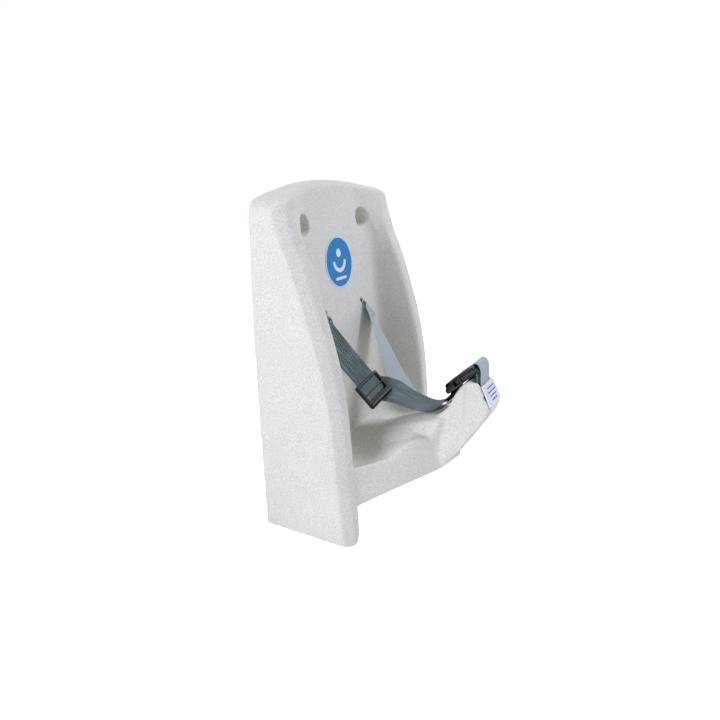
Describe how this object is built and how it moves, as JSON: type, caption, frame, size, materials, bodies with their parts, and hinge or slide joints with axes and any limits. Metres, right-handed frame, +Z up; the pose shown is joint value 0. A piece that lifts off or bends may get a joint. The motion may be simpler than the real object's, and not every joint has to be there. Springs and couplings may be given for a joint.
{
  "type": "wall mounted child seat",
  "caption": "Hollow moulded wall seat for a small child, with side wings, a saddle, a front post and a webbing harness with a side-release buckle.",
  "frame": {"origin": "in the wall plane, midway between the two wall holes", "axes": "+Z up, +Y into the wall, so the seat faces -Y; +X is the seat's right as it is looked at"},
  "size_m": [0.3142, 0.2901, 0.49],
  "materials": {
    "moulded_plastic": "fine-grained matt moulding",
    "zinc_steel": "zinc plated",
    "grey_webbing": "ribbed polyester webbing",
    "light_webbing": "polyester webbing",
    "black_plastic": "satin acetal",
    "cover_plastic": "smooth satin",
    "label_film": "printed vinyl film",
    "white_film": "printed vinyl film"
  },
  "bodies": {
    "seat": {"body_shell": "moulded_plastic", "back_plate": "zinc_steel", "back_plate_screw_1": "zinc_steel", "back_plate_screw_2": "zinc_steel", "back_plate_screw_3": "zinc_steel", "back_plate_screw_4": "zinc_steel", "hole_sleeve_left": "zinc_steel", "hole_sleeve_right": "zinc_steel", "strap_bar_left": "zinc_steel", "strap_bar_right": "zinc_steel", "front_strap_pin": "zinc_steel", "front_cover_screw_1": "zinc_steel", "front_cover_screw_2": "zinc_steel", "strap_left": "grey_webbing", "strap_right": "grey_webbing", "front_strap": "light_webbing", "buckle_tongue": "black_plastic", "front_cover": "cover_plastic", "round_label": "label_film", "front_label": "white_film"},
    "slider": {"strap_slider": "black_plastic"},
    "socket": {"buckle_socket": "black_plastic", "strap_loop": "grey_webbing"},
    "arm_left": {"release_arm_left": "black_plastic"},
    "arm_right": {"release_arm_right": "black_plastic"}
  },
  "joints": [
    {"name": "strap_adjust", "type": "slide", "parent": "seat", "child": "slider", "axis": [-0.1606, 0.6459, 0.7463], "range_m": [0, 0.02]},
    {"name": "buckle_release", "type": "slide", "parent": "seat", "child": "socket", "axis": [0, 0.7193, -0.6947], "range_m": [0, 0.02], "deforming": ["strap_left", "strap_right", "release_arm_left", "release_arm_right"]},
    {"name": "release_press_right", "type": "hinge", "parent": "seat", "child": "arm_right", "pos_m": [0.015, -0.24745, -0.19829], "axis": [0, 0.6947, 0.7193], "range_deg": [0, 12], "stiffness_Nm_per_rad": 0.6},
    {"name": "release_press_left", "type": "hinge", "parent": "seat", "child": "arm_left", "pos_m": [-0.015, -0.24745, -0.19829], "axis": [0, -0.6947, -0.7193], "range_deg": [0, 12], "stiffness_Nm_per_rad": 0.6}
  ],
  "couplings": [
    {"joint": "release_press_left", "follows": "release_press_right", "ratio": 1}
  ]
}
